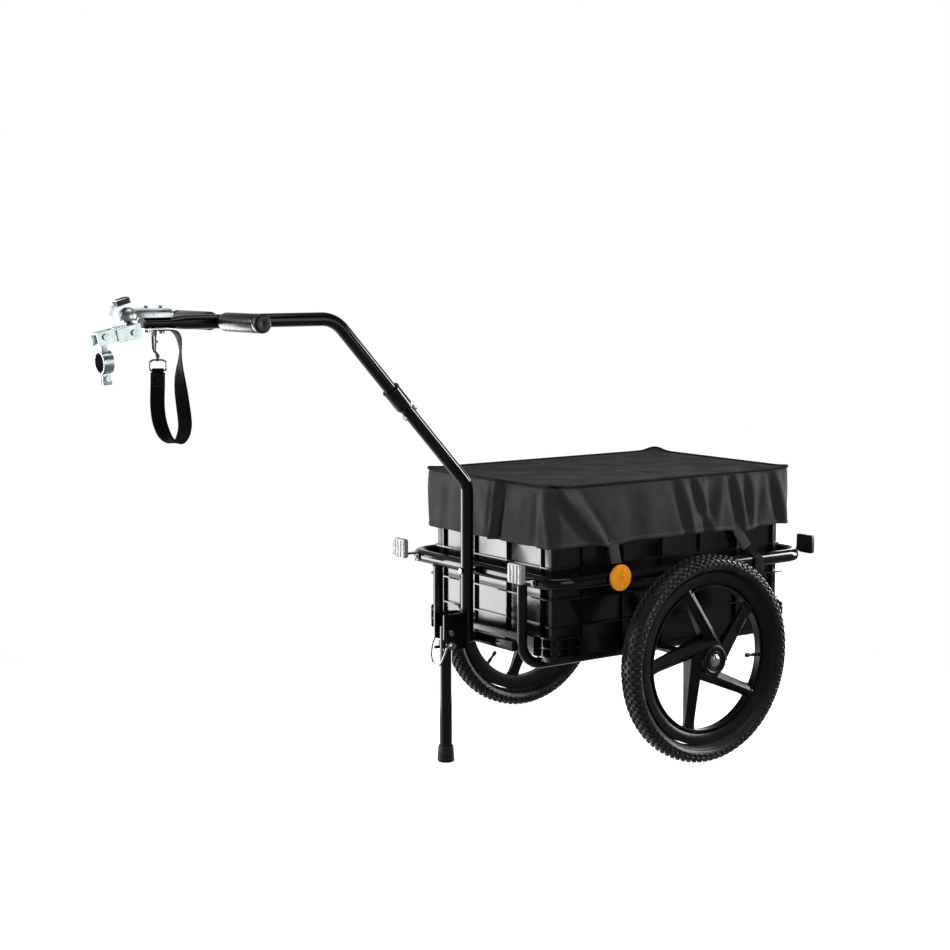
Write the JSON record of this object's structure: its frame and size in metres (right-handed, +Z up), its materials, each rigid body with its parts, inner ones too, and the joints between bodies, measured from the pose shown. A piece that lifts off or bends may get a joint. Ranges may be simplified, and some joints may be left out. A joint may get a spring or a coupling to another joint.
{
  "type": "cargo bike trailer",
  "caption": "Two-wheeled cargo trailer for a bicycle: a covered lift-out crate in a tube frame, with a goose-neck drawbar, ball coupling, push handle, folding stand and safety tether",
  "frame": {"origin": "middle of the trailer's footprint on the ground", "axes": "+X forward to the bicycle, +Y to the trailer's left, +Z up"},
  "size_m": [1.503, 0.6496, 0.906],
  "materials": {
    "black_paint": "glossy black powder coat",
    "crate_plastic": "glossy black moulded plastic",
    "wheel_plastic": "black moulded plastic, half gloss",
    "tyre": "matt dark rubber with a knobby tread",
    "tube_rubber": "matt black rubber",
    "grip_foam": "matt black foam rubber",
    "nylon": "dark grey woven nylon",
    "webbing": "black woven webbing",
    "zinc": "bright zinc plated steel",
    "steel": "bare bright steel",
    "white_lens": "clear ribbed reflector plastic",
    "amber_lens": "amber reflector plastic",
    "red_lens": "red reflector plastic"
  },
  "bodies": {
    "frame": {"ring_rail": "black_paint", "left_underframe_loop": "black_paint", "right_underframe_loop": "black_paint", "front_crossmember": "black_paint", "axle_beam": "steel", "left_axle_bolt": "steel", "right_axle_bolt": "steel", "lower_drawbar": "black_paint", "upper_drawbar": "black_paint", "sleeve_bolt": "zinc", "rail_bolt": "steel", "handle_bar": "black_paint", "left_grip": "grip_foam", "right_grip": "grip_foam", "stand_bracket": "black_paint", "bracket_bolt": "zinc", "stand_pivot_bolt": "zinc", "front_left_reflector": "white_lens", "front_right_reflector": "white_lens", "rear_left_reflector": "red_lens", "rear_right_reflector": "red_lens", "left_side_reflector": "amber_lens", "right_side_reflector": "amber_lens", "front_left_rail_strap": "webbing", "front_right_rail_strap": "webbing", "rear_left_rail_strap": "webbing", "rear_right_rail_strap": "webbing", "coupling_head": "zinc", "rear_head_bolt": "zinc", "front_head_bolt": "zinc", "tether_anchor": "zinc", "tether_strap": "webbing", "tether_ring": "steel", "snap_hook": "steel"},
    "left_wheel_body": {"left_tyre": "tyre", "left_inner_tube": "tube_rubber", "left_wheel": "wheel_plastic", "left_valve_cap": "wheel_plastic", "left_hub_bearing": "steel"},
    "right_wheel_body": {"right_tyre": "tyre", "right_inner_tube": "tube_rubber", "right_wheel": "wheel_plastic", "right_valve_cap": "wheel_plastic", "right_hub_bearing": "steel"},
    "stand": {"stand_leg": "black_paint", "stand_foot": "tube_rubber"},
    "stand_pin": {"lock_pin": "steel"},
    "stand_bail": {"pin_bail": "steel"},
    "crate_body": {"crate": "crate_plastic"},
    "cover_body": {"cover": "nylon"},
    "coupling_ball": {"ball": "steel"},
    "bike_bracket": {"ball_stem": "steel", "hitch_bracket": "zinc", "hitch_saddle": "zinc", "saddle_bolt": "zinc", "clamp_pivot_bolt": "zinc"},
    "lever": {"safety_lever": "zinc"},
    "post_clamp": {"seatpost_clamp": "zinc", "clamp_liner": "tube_rubber", "clamp_bolt": "zinc"}
  },
  "joints": [
    {"name": "left_wheel_spin", "type": "hinge", "parent": "frame", "child": "left_wheel_body", "pos_m": [-0.37347, 0.293, 0.203], "axis": [0, 1, 0], "continuous": true},
    {"name": "right_wheel_spin", "type": "hinge", "parent": "frame", "child": "right_wheel_body", "pos_m": [-0.37347, -0.293, 0.203], "axis": [0, 1, 0], "continuous": true},
    {"name": "stand_fold", "type": "hinge", "parent": "frame", "child": "stand", "pos_m": [0.03453, 0, 0.2555], "axis": [0, -1, 0], "range_deg": [0, 100]},
    {"name": "lock_pin_pull", "type": "slide", "parent": "stand", "child": "stand_pin", "axis": [0, 1, 0], "range_m": [0, 0.045]},
    {"name": "bail_swing", "type": "hinge", "parent": "stand_pin", "child": "stand_bail", "pos_m": [0.03453, 0, 0.2315], "axis": [0, -1, 0], "range_deg": [0, 90]},
    {"name": "crate_lift", "type": "slide", "parent": "frame", "child": "crate_body", "axis": [0, 0, 1], "range_m": [0, 0.35]},
    {"name": "cover_lift", "type": "slide", "parent": "crate_body", "child": "cover_body", "axis": [0, 0, 1], "range_m": [0, 0.16]},
    {"name": "coupling_yaw", "type": "hinge", "parent": "frame", "child": "coupling_ball", "pos_m": [0.68853, 0, 0.873], "axis": [0, 0, 1], "range_deg": [-60, 60]},
    {"name": "coupling_pitch", "type": "hinge", "parent": "coupling_ball", "child": "bike_bracket", "pos_m": [0.68853, 0, 0.873], "axis": [0, -1, 0], "range_deg": [0, 32]},
    {"name": "lever_open", "type": "hinge", "parent": "bike_bracket", "child": "lever", "pos_m": [0.71669, 0, 0.84623], "axis": [0, 1, 0], "range_deg": [0, 60]},
    {"name": "post_clamp_swing", "type": "hinge", "parent": "bike_bracket", "child": "post_clamp", "pos_m": [0.7355, 0, 0.8404], "axis": [0, -1, 0], "range_deg": [0, 80]}
  ]
}
